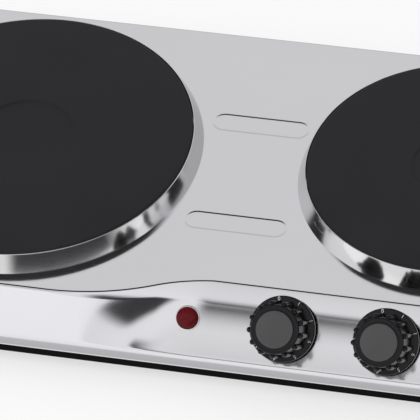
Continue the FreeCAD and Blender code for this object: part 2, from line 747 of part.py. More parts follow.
def control(side):
    frame = knobFrames[side]
    backZ = -panelSkin - size("thermostat_depth")

    case = block(side + "_thermostat_case", "thermostat_width", "thermostat_height", "thermostat_depth",
                 vec(0, 0, backZ))
    bushing = rod(side + "_bushing", "bushing_radius", panelSkin + size("bushing_reach"),
                  vec(0, 0, -panelSkin))
    tabs = []
    for end in (-1, 1):
        spot = vec(end * size("terminal_pitch") / 2, 0, backZ - size("tab_length"))
        tabs.append(block(side + "_thermostat_tab", "tab_width", "tab_thickness", "tab_length", spot))
    boreLength = size("shaft_sink") + panelSkin + size("bushing_reach")
    bore = rod(side + "_shaft_bore", "shaft_radius + shaft_clearance", boreLength,
               vec(0, 0, -panelSkin - size("shaft_sink")))
    screwSpots = [vec(end * size("thermostat_screw_spread") / 2, 0, 0) for end in (-1, 1)]
    threads = []
    for spot in screwSpots:
        tip = spot - vec(0, 0, size("thermostat_screw_length"))
        threads.append(rod(side + "_screw_thread", "thermostat_screw_radius + thread_clearance",
                           "thermostat_screw_length", tip))
    whole = fused(side + "_thermostat_body", [case, bushing] + tabs)
    keep(side + "_thermostat", cut(side + "_thermostat", whole, [bore] + threads), frame)
    tipXs = [end * size("terminal_pitch") / 2 for end in (-1, 1)]
    thermostatTips[side] = [frame.multVec(vec(x, 0, backZ - size("tab_length"))) for x in tipXs]

    screwEnd = "seat_gap - thermostat_screw_length"
    headTop = "seat_gap + thermostat_screw_head"
    screw = turned(side + "_thermostat_screw", [
        (0, screwEnd), ("thermostat_screw_radius", screwEnd), ("thermostat_screw_radius", "seat_gap"),
        ("thermostat_screw_head_radius", "seat_gap"), ("thermostat_screw_head_radius", headTop),
        (0, headTop)])
    places = [frame.multiply(FreeCAD.Placement(spot, FreeCAD.Rotation())) for spot in screwSpots]
    keepCopies(side + "_thermostat_screws", screw, places)

    shaftZ = size("seat_gap") - panelSkin - size("shaft_sink")
    bar = rod(side + "_shaft_rod", "shaft_radius", size("shaft_reach") - shaftZ, vec(0, 0, shaftZ))
    flat = block(side + "_shaft_flat", "4 * shaft_radius", "2 * shaft_radius", "shaft_reach",
                 vec(0, size("shaft_flat") + size("shaft_radius"), size("flat_start")))
    keep(side + "_shaft", cut(side + "_shaft", bar, [flat]), frame)

    keep(side + "_knob", knob(side), frame)
    cap = turned(side + "_knob_cap", [
        (0, "knob_height - cap_sink + cap_gap"), ("cap_radius", "knob_height - cap_sink + cap_gap"),
        ("cap_radius", "knob_height + cap_proud / 3"),
        ("cap_radius - cap_proud / 2", "knob_height + cap_proud * 0.8"), (0, "knob_height + cap_proud")])
    keep(side + "_knob_cap", cap, frame)


def knob(side):
    skirtTop = "knob_lift + skirt_thickness"
    roof = "knob_height - knob_roof"
    body = turned(side + "_knob_moulding", [
        (0, "knob_height - cap_sink"), ("cap_radius + cap_gap", "knob_height - cap_sink"),
        ("cap_radius + cap_gap", "knob_height"), ("grip_front_radius - skirt_round", "knob_height"),
        ("grip_front_radius", "knob_height - skirt_round"),
        ("grip_root_radius", skirtTop + " + skirt_round"), ("skirt_radius - skirt_round", skirtTop),
        ("skirt_radius", skirtTop + " - skirt_round"),
        ("skirt_radius", "knob_lift"), ("skirt_radius - knob_wall", "knob_lift"),
        ("skirt_radius - knob_wall", skirtTop + " - knob_wall / 2"),
        ("grip_front_radius - knob_wall", skirtTop), ("grip_front_radius - knob_wall", roof),
        ("hub_radius", roof), ("hub_radius", "hub_lift"), (0, "hub_lift")])
    sketch = body.newObject("Sketcher::SketchObject", side + "_nub_outline")
    plane = [feature for feature in body.Origin.OriginFeatures if feature.Role == "XY_Plane"][0]
    sketch.AttachmentSupport = [(plane, "")]
    sketch.MapMode = "FlatFace"
    sketch.setExpression("AttachmentOffset.Base.z", tied(skirtTop))
    sketch.addGeometry(Part.Circle(vec(0, -1, 0), vec(0, 0, 1), 1), False)
    sketch.addConstraint([
        Sketcher.Constraint("PointOnObject", 0, 3, -2),
        Sketcher.Constraint("DistanceY", 0, 3, -1, 1, 1.0),
        Sketcher.Constraint("Radius", 0, 1.0)])
    sketch.setExpression("Constraints[1]", tied("nub_circle"))
    sketch.setExpression("Constraints[2]", tied("nub_radius"))
    nub = body.newObject("PartDesign::Pad", side + "_nub")
    nub.Profile = sketch
    bind(nub, Length="knob_height - %s - skirt_round" % skirtTop.replace(" + ", " - "))
    doc.recompute()
    ring = body.newObject("PartDesign::PolarPattern", side + "_nub_ring")
    ring.Originals = [nub]
    ring.Axis = ([axis for axis in body.Origin.OriginFeatures if axis.Role == "Z_Axis"][0], [""])
    ring.Angle = 360
    ring.Occurrences = int(size("nub_count"))
    body.Tip = ring
    bore = rod(side + "_knob_bore", "shaft_radius + shaft_clearance", "shaft_reach + seat_gap - hub_lift",
               vec(0, 0, size("hub_lift")))
    flatY = size("shaft_flat") + size("shaft_clearance") + size("shaft_radius")
    flat = block(side + "_knob_flat", "4 * shaft_radius", "2 * shaft_radius", "shaft_reach",
                 vec(0, flatY, size("flat_start")))
    return cut(side + "_knob", body, [cut(side + "_knob_socket", bore, [flat])])


lampTips = {}


def lamp(side):
    frame = lampFrames[side]
    lens = turned(side + "_lamp_lens", [
        (0, "lamp_lift"), ("lens_radius", "lamp_lift"), ("lens_radius", "lamp_lift + lens_edge"),
        ("lens_radius * 0.8", "lamp_lift + lens_edge + lens_dome * 0.5"),
        ("lens_radius * 0.45", "lamp_lift + lens_edge + lens_dome * 0.88"),
        (0, "lamp_lift + lens_edge + lens_dome")])
    keep(side + "_lamp_lens", lens, frame)
    bezelInner = "lens_radius + seat_gap"
    bezelOuter = bezelInner + " + bezel_width"
    bezel = turned(side + "_lamp_bezel", [
        (bezelInner, "lamp_lift"), (bezelOuter, "lamp_lift"), (bezelOuter, "lamp_lift + bezel_height / 2"),
        (bezelOuter + " - bezel_width / 2", "lamp_lift + bezel_height"),
        (bezelInner, "lamp_lift + bezel_height")])
    keep(side + "_lamp_bezel", bezel, frame)
    barrel = rod(side + "_lamp_barrel", "lamp_barrel_radius", "lamp_barrel_length",
                 vec(0, 0, size("lamp_lift") - size("lamp_barrel_length")))
    collar = rod(side + "_lamp_collar", "lamp_collar_radius", "lamp_collar",
                 vec(0, 0, -panelSkin - size("lamp_lift") - size("lamp_collar")))
    keep(side + "_lamp_body", fused(side + "_lamp_body", [barrel, collar]), frame)
    lampTips[side] = frame.multVec(vec(0, 0, size("lamp_lift") - size("lamp_barrel_length")))


for sideName in ("left", "right"):
    control(sideName)
    lamp(sideName)


# Mains entry: gland and nut in the back wall, terminal block and earth stud on the pan

glandHole = "gland_bore_radius"
gland = turned("cord_gland", [
    (glandHole, "-gland_tail"), ("gland_barrel_radius", "-gland_tail"), ("gland_barrel_radius", 0),
    ("gland_flange_radius", 0), ("gland_flange_radius", "gland_flange"),
    ("gland_nose_radius + gland_nose_taper", "gland_flange"),
    ("gland_nose_radius", "gland_flange + gland_nose"), (glandHole, "gland_flange + gland_nose")])
keep("cord_gland", gland, glandPlace)
glandThread = "gland_barrel_radius + thread_clearance"
glandNut = hexagon("gland_nut", "gland_nut_across", "gland_nut_height", glandThread,
                   vec(0, 0, -steel - size("gland_nut_height")))
keep("gland_nut", glandNut, glandPlace)

blockSpot = here(slotX, backY - size("block_inset"), floorZ)
keep("terminal_block", block("terminal_block", "block_length", "block_width", "block_height", blockSpot))
blockScrew = rod("block_screw", "block_screw_radius", "block_screw_height")
blockTop = blockSpot + vec(0, 0, size("block_height"))
blockScrewSpots = [blockTop + vec(side * size("block_screw_pitch"), 0, 0) for side in (-1, 0, 1)]
blockScrewPlaces = [FreeCAD.Placement(spot, FreeCAD.Rotation()) for spot in blockScrewSpots]
keepCopies("terminal_screws", blockScrew, blockScrewPlaces)

earthBase = earthSpot + vec(0, 0, floorZ)
keep("earth_stud", rod("earth_stud", "earth_stud_radius", "earth_stud_height", earthBase))
earthThread = "earth_stud_radius + thread_clearance"
keep("earth_nut", hexagon("earth_nut", "earth_nut_across", "earth_nut_height", earthThread, earthBase))


# Inside leads: tubes of straight runs joined by tangent arcs

def leadTube(points):
    radius = size("lead_diameter") / 2
    edges = []
    start = points[0]
    for before, corner, after in zip(points, points[1:], points[2:]):
        inward, outward = (before - corner), (after - corner)
        shorter = min(inward.Length, outward.Length)
        inward.normalize()
        outward.normalize()
        turn = math.pi - inward.getAngle(outward)
        bend = min(0.45 * shorter / math.tan(turn / 2), 6 * size("lead_diameter"))
        reach = bend * math.tan(turn / 2)
        enter, leave = corner + inward * reach, corner + outward * reach
        middle = (inward + outward).normalize()
        nearest = corner + middle * (bend / math.cos(turn / 2) - bend)
        edges.append(Part.LineSegment(start, enter).toShape())
        edges.append(Part.Arc(enter, nearest, leave).toShape())
        start = leave
    edges.append(Part.LineSegment(start, points[-1]).toShape())
    path = Part.Wire(edges)
    circle = Part.Wire(Part.Circle(points[0], points[1] - points[0], radius).toShape())
    tube = path.makePipeShell([circle], True, True)
    full = math.pi * radius ** 2 * path.Length
    if abs(tube.Volume - full) > 0.01 * full:
        raise RuntimeError("a lead's tube has the wrong volume")
    return tube


gap = size("lead_gap")
leadRadius = size("lead_diameter") / 2
levels = [floorZ + leadRadius + gap + i * (size("lead_diameter") + 2 * gap) for i in range(4)]
blockFrontY = blockSpot.y - size("block_width") / 2 - gap
laneY = plateCentres["large"].y - 0.5 * largeRadius
run = size("lead_run")


def downFrom(tip, frame, level):
    # a lead's first two points: straight on from a terminal, down to its level
    inward = frame.Rotation.multVec(vec(0, 0, -1))
    return [tip + inward * gap, tip + inward * ((tip.z - level) / -inward.z)]


def fromThermostat(side, end, level):
    return downFrom(thermostatTips[side][end], knobFrames[side], level)


def toPin(pin, level, before):
    # a lead's last three points: along its level to under an element's pin, then up to it
    return [vec(pin.x, pin.y + before, level), vec(pin.x, pin.y, level), pin - vec(0, 0, gap)]


def toBlock(column, level, before):
    x = blockSpot.x + column * size("block_screw_pitch")
    return [vec(x, blockFrontY - before, level), vec(x, blockFrontY, level)]


def liveLead(side, column, level, before):
    start = fromThermostat(side, 0, level)
    return leadTube(start + [vec(start[1].x, laneY, level)] + toBlock(column, level, before))


def feedLead(side, name, end, level, before):
    start = fromThermostat(side, 1, level)
    clear = start[1] + vec(0, 0.6 * run, 0)
    return leadTube(start + [clear] + toPin(pinTips[name][end], level, before))


def returnLead(name, end, column, level, before):
    start = list(reversed(toBlock(column, level, 1.5 * run)))
    return leadTube(start + toPin(pinTips[name][end], level, before))


def lampLead(side, column, level, before):
    start = downFrom(lampTips[side], lampFrames[side], level)
    corner = vec(start[1].x, plateCentres["large"].y, level)
    return leadTube(start + [corner] + toBlock(column, level, before))


def leadNode(label, tubes):
    keep(label, formed(label, Part.makeCompound(tubes)))


leadNode("live_leads", [
    liveLead("left", -0.2, levels[0], 4 * run), liveLead("right", 0.2, levels[0], 3 * run)])
leadNode("large_plate_leads", [
    feedLead("left", "large", 1, levels[1], -0.4 * run), returnLead("large", 0, -1, levels[2], run)])
leadNode("small_plate_leads", [
    feedLead("right", "small", 1, levels[1], -0.8 * run), returnLead("small", 0, 1, levels[2], run)])
leadNode("lamp_leads", [
    lampLead("left", -1.4, levels[3], 1.5 * run), lampLead("right", 1.4, levels[3], run)])
earthLevel = earthBase.z + 0.6 * size("earth_stud_height")
earthEnds = [blockSpot.x - size("block_length") / 2 - gap, earthBase.x + size("earth_stud_radius") + gap]
leadNode("earth_lead", [leadTube([vec(x, earthBase.y, earthLevel) for x in earthEnds])])


# Checks and files

doc.recompute()
failed = [thing.Label for thing in doc.Objects if "Invalid" in thing.State or "Error" in thing.State]
if failed:
    raise RuntimeError("failed to build: %s" % ", ".join(failed))
for label, piece in nodes.items():
    if piece.Shape.isNull() or not piece.Shape.isValid() or not piece.Shape.Solids:
        raise RuntimeError("bad shape: %s" % label)

os.makedirs("parts", exist_ok=True)
for label, piece in nodes.items():
    piece.Shape.exportStep(os.path.join("parts", label + ".step"))
    print("%-26s %d solid(s) %10.1f mm3" % (label, len(piece.Shape.Solids), piece.Shape.Volume))
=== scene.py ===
import json
import math
import bmesh
import bpy
import numpy as np
from mathutils import Matrix, Vector


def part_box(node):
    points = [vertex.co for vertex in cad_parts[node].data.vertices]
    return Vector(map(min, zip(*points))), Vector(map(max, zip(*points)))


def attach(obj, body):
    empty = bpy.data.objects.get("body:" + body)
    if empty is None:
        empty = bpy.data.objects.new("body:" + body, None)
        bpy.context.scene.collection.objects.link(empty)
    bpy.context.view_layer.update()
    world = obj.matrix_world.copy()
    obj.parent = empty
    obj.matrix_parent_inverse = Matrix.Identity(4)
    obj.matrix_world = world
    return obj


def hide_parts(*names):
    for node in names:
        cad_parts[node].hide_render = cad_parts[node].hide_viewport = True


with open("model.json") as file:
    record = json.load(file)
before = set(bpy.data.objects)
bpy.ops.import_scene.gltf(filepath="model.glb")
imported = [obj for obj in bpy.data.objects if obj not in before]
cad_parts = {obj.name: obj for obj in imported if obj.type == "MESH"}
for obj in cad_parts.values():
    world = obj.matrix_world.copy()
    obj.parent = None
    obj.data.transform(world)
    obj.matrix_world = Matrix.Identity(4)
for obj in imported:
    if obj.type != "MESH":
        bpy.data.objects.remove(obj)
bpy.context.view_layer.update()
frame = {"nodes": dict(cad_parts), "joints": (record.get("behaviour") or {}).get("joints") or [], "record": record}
scene = bpy.context.scene
scene.view_settings.view_transform = "Standard"
nodes = frame["nodes"]
joints = {joint["name"]: joint for joint in frame["joints"]}
mm = 0.001
fixedBody = "hot_plate"


# camera: its place measured from the floor under the large plate's centre, and its picture axes
shot = {
    "fromPlate": (0.605694, -1.594528, 1.682103),
    "right": (0.96977472, 0.23263566, -0.07360458),
    "up": (-0.11426939, 0.69953389, 0.70540403),
    "back": (0.21559103, -0.67567225, 0.70497342),
    "lens": 382.83,
    "sensor": 36.0,
    "near": 0.1,
    "far": 20.0,
}
cameraData = bpy.data.cameras.new("photoCamera")
cameraData.lens = shot["lens"]
cameraData.sensor_width = shot["sensor"]
cameraData.sensor_fit = "HORIZONTAL"
cameraData.clip_start = shot["near"]
cameraData.clip_end = shot["far"]
camera = bpy.data.objects.new("photoCamera", cameraData)
scene.collection.objects.link(camera)
axes = Matrix((shot["right"], shot["up"], shot["back"])).transposed()
largeLow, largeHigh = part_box("large_plate")
smallLow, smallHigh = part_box("small_plate")
largeCentre = (largeLow + largeHigh) / 2
smallCentre = (smallLow + smallHigh) / 2
place = Vector(shot["fromPlate"]) + Vector((largeCentre.x, largeCentre.y, 0))
camera.matrix_world = Matrix.Translation(place) @ axes.to_4x4()
scene.camera = camera
print("camera set")


# mesh helpers
def meshObject(name, points, faces, weld=1e-7):
    mesh = bpy.data.meshes.new(name)
    mesh.from_pydata([tuple(p) for p in points], [], faces)
    work = bmesh.new()
    work.from_mesh(mesh)
    bmesh.ops.remove_doubles(work, verts=work.verts, dist=weld)
    bmesh.ops.dissolve_degenerate(work, edges=work.edges, dist=weld)
    bmesh.ops.recalc_face_normals(work, faces=work.faces)
    work.to_mesh(mesh)
    work.free()
    return finishMesh(name, mesh)


def finishMesh(name, mesh, sharpAngle=30.0):
    mesh.polygons.foreach_set("use_smooth", [True] * len(mesh.polygons))
    mesh.set_sharp_from_angle(angle=math.radians(sharpAngle))
    piece = bpy.data.objects.new(name, mesh)
    scene.collection.objects.link(piece)
    return piece


def rounded(corners, steps=6):
    # corners are (across, up) or (across, up, radius); returns the polyline with its corners rolled
    line = []
    count = len(corners)
    for i, corner in enumerate(corners):
        here = Vector(corner[:2])
        radius = corner[2] if len(corner) > 2 else 0.0
        if radius <= 0 or i in (0, count - 1):
            line.append(tuple(here))
            continue
        before = (Vector(corners[i - 1][:2]) - here).normalized()
        after = (Vector(corners[i + 1][:2]) - here).normalized()
        half = before.angle(after) / 2
        reach = radius / math.tan(half)
        middle = here + (before + after).normalized() * (radius / math.sin(half))
        start = here + before * reach - middle
        end = here + after * reach - middle
        sweep = start.angle_signed(end)
        for k in range(steps + 1):
            turn = -sweep * k / steps
            x = start.x * math.cos(turn) - start.y * math.sin(turn)
            y = start.x * math.sin(turn) + start.y * math.cos(turn)
            line.append((middle.x + x, middle.y + y))
    return line


def lathe(name, line, place, segments, closed=False):
    # turns a profile in millimetres round the Z axis of place
    points, faces = [], []
    for across, up in line:
        for j in range(segments):
            turn = 2 * math.pi * j / segments
            x, y = across * math.cos(turn) * mm, across * math.sin(turn) * mm
            points.append(place @ Vector((x, y, up * mm)))
    rows = len(line)
    for i in range(rows if closed else rows - 1):
        lower, upper = i * segments, ((i + 1) % rows) * segments
        for j in range(segments):
            k = (j + 1) % segments
            faces.append((lower + j, lower + k, upper + k, upper + j))
    return meshObject(name, points, faces)


def facing(place, along, out):
    # a frame at place, its Z outward and its X along the surface
    z = Vector(out).normalized()
    x = Vector(along).normalized()
    y = z.cross(x)
    return Matrix.Translation(place) @ Matrix((x, y, z)).transposed().to_4x4()


# materials
def newMaterial(name):
    material = bpy.data.materials.new(name)
    material.use_nodes = True
    tree = material.node_tree
    shader = tree.nodes["Principled BSDF"]
    return material, tree, shader


def groupTree(name, inputs, outputs):
    group = bpy.data.node_groups.new(name, "ShaderNodeTree")
    for label, kind, value in inputs:
        socket = group.interface.new_socket(label, in_out="INPUT", socket_type=kind)
        socket.default_value = value
    for label, kind in outputs:
        group.interface.new_socket(label, in_out="OUTPUT", socket_type=kind)
    return group, group.nodes.new("NodeGroupInput"), group.nodes.new("NodeGroupOutput")


# the drift that every finish shares; spread is the part of its range that the tones use
mottleLook = {
    "cloud": 20.0, "cloudDetail": 3, "speckle": 900.0, "speckleDetail": 2, "share": 0.4,
    "spread": (0.3, 0.7), "bumpDepth": 0.00005,
}


def mottleGroup():
    # slow cloudy change plus fine speckle, as one value round 0.5
    group, given, result = groupTree(
        "surfaceMottle",
        [("Cloud Scale", "NodeSocketFloat", mottleLook["cloud"]),
         ("Speckle Scale", "NodeSocketFloat", mottleLook["speckle"]),
         ("Speckle Share", "NodeSocketFloat", mottleLook["share"])],
        [("Value", "NodeSocketFloat"), ("Speckle", "NodeSocketFloat")])
    where = group.nodes.new("ShaderNodeTexCoord")
    cloud = group.nodes.new("ShaderNodeTexNoise")
    cloud.inputs["Detail"].default_value = mottleLook["cloudDetail"]
    speckle = group.nodes.new("ShaderNodeTexNoise")
    speckle.inputs["Detail"].default_value = mottleLook["speckleDetail"]
    blend = group.nodes.new("ShaderNodeMix")
    links = group.links
    links.new(where.outputs["Object"], cloud.inputs["Vector"])
    links.new(where.outputs["Object"], speckle.inputs["Vector"])
    links.new(given.outputs["Cloud Scale"], cloud.inputs["Scale"])
    links.new(given.outputs["Speckle Scale"], speckle.inputs["Scale"])
    links.new(given.outputs["Speckle Share"], blend.inputs["Factor"])
    links.new(cloud.outputs["Fac"], blend.inputs["A"])
    links.new(speckle.outputs["Fac"], blend.inputs["B"])
    links.new(blend.outputs["Result"], result.inputs["Value"])
    links.new(speckle.outputs["Fac"], result.inputs["Speckle"])
    return group


mottle = mottleGroup()


def greyRamp(tree, stops):
    # a colour ramp node from (place, grey tone) pairs
    node = tree.nodes.new("ShaderNodeValToRGB")
    marks = node.color_ramp.elements
    for mark, (place, tone) in ((marks[0], stops[0]), (marks[1], stops[-1])):
        mark.position = place
        mark.color = (tone, tone, tone, 1)
    for place, tone in stops[1:-1]:
        marks.new(place).color = (tone, tone, tone, 1)
    return node


def mathNode(tree, operation, *values):
    # a math node with its free inputs set; None leaves an input to a link
    node = tree.nodes.new("ShaderNodeMath")
    node.operation = operation
    for socket, value in zip(node.inputs, values):
        if value is not None:
            socket.default_value = value
    return node


def hemShade(tree, hem, colour):
    # painted shade: the flange band above the hem's foot is darkened by height, standing in for the darker floor
    # it mirrors; the foot keeps the steel's plain tone, so it shows as a bright line
    where = tree.nodes.new("ShaderNodeTexCoord")
    split = tree.nodes.new("ShaderNodeSeparateXYZ")
    height = tree.nodes.new("ShaderNodeMapRange")
    height.inputs["From Min"].default_value = hem["foot"]
    height.inputs["From Max"].default_value = hem["top"]
    # painted shade ramp: plain tone at the foot, a darker band above it, plain again at the top
    band = greyRamp(tree, hem["stops"])
    paintedShade = tree.nodes.new("ShaderNodeVectorMath")
    paintedShade.operation = "MULTIPLY"
    tree.links.new(where.outputs["Object"], split.inputs["Vector"])
    tree.links.new(split.outputs["Z"], height.inputs["Value"])
    tree.links.new(height.outputs["Result"], band.inputs["Fac"])
    tree.links.new(colour.outputs["Color"], paintedShade.inputs[0])
    tree.links.new(band.outputs["Color"], paintedShade.inputs[1])
    return paintedShade.outputs["Vector"]


def finishOf(name, look):
    # one finish: a colour that drifts between two tones, a roughness that drifts with it, and a fine bump
    material, tree, shader = newMaterial(name)
    links = tree.links
    tone = tree.nodes.new("ShaderNodeGroup")
    tone.node_tree = mottle
    tone.inputs["Cloud Scale"].default_value = look.get("cloud", mottleLook["cloud"])
    tone.inputs["Speckle Scale"].default_value = look.get("speckle", mottleLook["speckle"])
    least, most = mottleLook["spread"]
    colour = tree.nodes.new("ShaderNodeValToRGB")
    colour.color_ramp.elements[0].position = least
    colour.color_ramp.elements[1].position = most
    colour.color_ramp.elements[0].color = (*look["dark"], 1)
    colour.color_ramp.elements[1].color = (*look["light"], 1)
    links.new(tone.outputs["Value"], colour.inputs["Fac"])
    # painted shade on the housing's flange band, where the look has a hem entry
    if look.get("hem"):
        links.new(hemShade(tree, look["hem"], colour), shader.inputs["Base Color"])
    else:
        links.new(colour.outputs["Color"], shader.inputs["Base Color"])
    gloss = tree.nodes.new("ShaderNodeMapRange")
    gloss.inputs["From Min"].default_value = least
    gloss.inputs["From Max"].default_value = most
    gloss.inputs["To Min"].default_value = look["rough"][0]
    gloss.inputs["To Max"].default_value = look["rough"][1]
    links.new(tone.outputs["Value"], gloss.inputs["Value"])
    links.new(gloss.outputs["Result"], shader.inputs["Roughness"])
    if look.get("bump"):
        bump = tree.nodes.new("ShaderNodeBump")
        bump.inputs["Strength"].default_value = look["bump"]
        bump.inputs["Distance"].default_value = look.get("depth", mottleLook["bumpDepth"])
        links.new(tone.outputs["Speckle"], bump.inputs["Height"])
        links.new(bump.outputs["Normal"], shader.inputs["Normal"])
    shader.inputs["Metallic"].default_value = look.get("metal", 0.0)
    shader.inputs["Specular IOR Level"].default_value = look.get("shine", 0.5)
    return material


looks = {
    "polished_steel": {
        "dark": (0.775, 0.77, 0.80), "light": (0.815, 0.81, 0.84), "rough": (0.10, 0.13),
        "metal": 1.0, "cloud": 9.0,
        # hem: painted shade on the flange band, standing in for the shaded floor it mirrors; the foot keeps the
        # plain tone and shows as a bright line
        "hem": {"foot": 0.0152, "top": 0.0232,
                "stops": ((0.0, 1.0), (0.10, 1.0), (0.17, 0.58), (0.70, 0.62), (0.84, 1.0))}},
    "trim_steel": {
        "dark": (0.74, 0.74, 0.75), "light": (0.80, 0.80, 0.81), "rough": (0.08, 0.13), "metal": 1.0},
    "black_enamel": {
        "dark": (0.004, 0.004, 0.004), "light": (0.005, 0.005, 0.005), "rough": (0.45, 0.55),
        "shine": 0.03},
    "cast_iron": {
        "dark": (0.012, 0.0117, 0.0137), "light": (0.018, 0.0175, 0.0205), "rough": (0.52, 0.62),
        "bump": 0.5, "speckle": 1800.0, "shine": 0.3},
    "foot_rubber": {
        "dark": (0.012, 0.012, 0.012), "light": (0.02, 0.02, 0.02), "rough": (0.7, 0.85), "bump": 0.3},
    "knob_black": {
        "dark": (0.005, 0.005, 0.006), "light": (0.007, 0.007, 0.009), "rough": (0.20, 0.26),
        "shine": 0.3},
    "cap_grey": {
        "dark": (0.050, 0.050, 0.053), "light": (0.064, 0.064, 0.067), "rough": (0.34, 0.40),
        "bump": 0.25, "speckle": 2500.0},
    "lens_red": {
        "dark": (0.085, 0.003, 0.006), "light": (0.13, 0.006, 0.010), "rough": (0.24, 0.30),
        "shine": 0.15},
    "bezel_chrome": {
        "dark": (0.80, 0.80, 0.80), "light": (0.86, 0.86, 0.86), "rough": (0.05, 0.08), "metal": 1.0},
    "gland_black": {
        "dark": (0.014, 0.014, 0.014), "light": (0.022, 0.022, 0.022), "rough": (0.45, 0.6),
        "bump": 0.2},
    "zinc_steel": {
        "dark": (0.55, 0.55, 0.53), "light": (0.66, 0.66, 0.64), "rough": (0.28, 0.42), "metal": 1.0,
        "cloud": 60.0},
    "element_sheath": {
        "dark": (0.10, 0.09, 0.085), "light": (0.22, 0.20, 0.19), "rough": (0.45, 0.6), "metal": 1.0},
    "mineral_fibre": {
        "dark": (0.55, 0.52, 0.46), "light": (0.70, 0.67, 0.60), "rough": (0.9, 1.0), "bump": 0.8,
        "depth": 0.0003},
    "phenolic_brown": {
        "dark": (0.05, 0.028, 0.02), "light": (0.08, 0.045, 0.03), "rough": (0.35, 0.5)},
    "white_plastic": {
        "dark": (0.70, 0.70, 0.68), "light": (0.76, 0.76, 0.74), "rough": (0.4, 0.5)},
    "earth_brass": {
        "dark": (0.55, 0.40, 0.16), "light": (0.68, 0.50, 0.22), "rough": (0.25, 0.4), "metal": 1.0},
    "lead_sleeve": {
        "dark": (0.40, 0.36, 0.31), "light": (0.50, 0.45, 0.39), "rough": (0.55, 0.7)},
}
finishes = {slot: finishOf(slot, look) for slot, look in looks.items()}
slotOf = {entry["node"]: entry["material_slot"] for entry in frame["record"]["subparts"]}


def dress(piece, slot):
    piece.data.materials.clear()
    piece.data.materials.append(finishes[slot])


for label, node in nodes.items():
    dress(node, slotOf[label])
print("finishes: %d" % len(finishes))


def stands(piece, body, slot, *labels):
    # the piece wears a finish, rides on a body and stands for its CAD nodes
    dress(piece, slot)
    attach(piece, body)
    if labels:
        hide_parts(*labels)
    return piece


# steel housing: deck, rolled lip, swept-back panel and flange in one sheet
housing = {
    "largeRadius": 88.5, "smallRadius": 76.2, "plateGap": 62.1,
    "ringFlare": 4.9, "deckMargin": 9.2, "frontMargin": 6.6, "sideDraft": 6.0, "frontDraft": 9.8,
    "panelRun": 26.2, "panelDrop": 26.5, "panelScoop": 2.26, "deckZ": 50.0, "hemZ": 15.2,
    "corner": 16.0, "steel": 1.0, "bendRoll": 0.9, "sharpAngle": 40.0,
    "swoopLong": 54.8, "swoopShort": 28.8, "swoopEnd": 121.1, "leastSweep": 1e-5,
    "controlLevel": 0.52, "levelProbe": 0.01,
    # points along each stretch of a level line, and levels down the panel
    "front": 48, "bow": 20, "right": 20, "back": 24, "left": 16, "frontLeft": 24,
    "longArc": 48, "shortArc": 32, "levels": 240,
    # the lip: how deep it reaches, the turn and roll of its crease, and its closer roll into the panel
    "thinLip": 1.2, "wideLip": 7.9, "fadeFrom": -60.0,
    "creaseRoll": 1.5, "creaseTurn": 0.62, "creaseMore": 0.5, "creaseMost": 0.8, "creaseFall": 0.6,
    "lateTurn": 0.17, "lateMost": 0.6, "lateShare": 0.25,
    "deckInsets": (0.8, 0.3), "creaseSteps": 8, "slowSteps": 10, "lateSteps": 8,
    "panelSteps": 30, "bendSteps": 5, "hemRoll": ((0.55, 0.0), (0.30, 0.08), (0.10, 0.22), (0.0, 0.45)),
    # plate holes and pressed slots
    "holeLip": 3.0, "holeBands": (0.0, 1.5, 3.0), "holeSteps": 160,
    "slotWidth": 11.8, "slotDepth": 0.13, "slotRoll": 0.45, "slotMargin": 1.5, "slotSteps": 13, "slotBow": 25,
    "slots": ((122.05, -38.0, 53.6), (118.75, 35.0, 51.5)),
    # faces this near the deck that look down are turned over
    "downward": -0.9, "nearDeck": 3.0,
}
originShift = np.array([largeCentre.x / mm, largeCentre.y / mm])
smallX = housing["largeRadius"] + housing["smallRadius"] + housing["plateGap"]
swoopMid = housing["swoopEnd"] - housing["swoopShort"]
swoopStart = swoopMid - housing["swoopLong"]
reachOut = housing["ringFlare"] + housing["deckMargin"]
flangeLeft = -housing["largeRadius"] - reachOut - housing["sideDraft"]
flangeRight = smallX + housing["smallRadius"] + reachOut + housing["sideDraft"]
backY = housing["largeRadius"] + reachOut
frontY = -housing["largeRadius"] - housing["ringFlare"] - housing["frontMargin"] - housing["frontDraft"]
panelChord = math.atan2(housing["panelRun"], housing["panelDrop"])


def frontLine(level):
    # where the front lies at a level: left of the S, and right of it with the panel's hollow
    scoop = 4 * level * (1 - level) * housing["panelScoop"] / math.cos(panelChord)
    return frontY + housing["frontDraft"] * (1 - level), frontY + housing["panelRun"] * (1 - level) + scoop


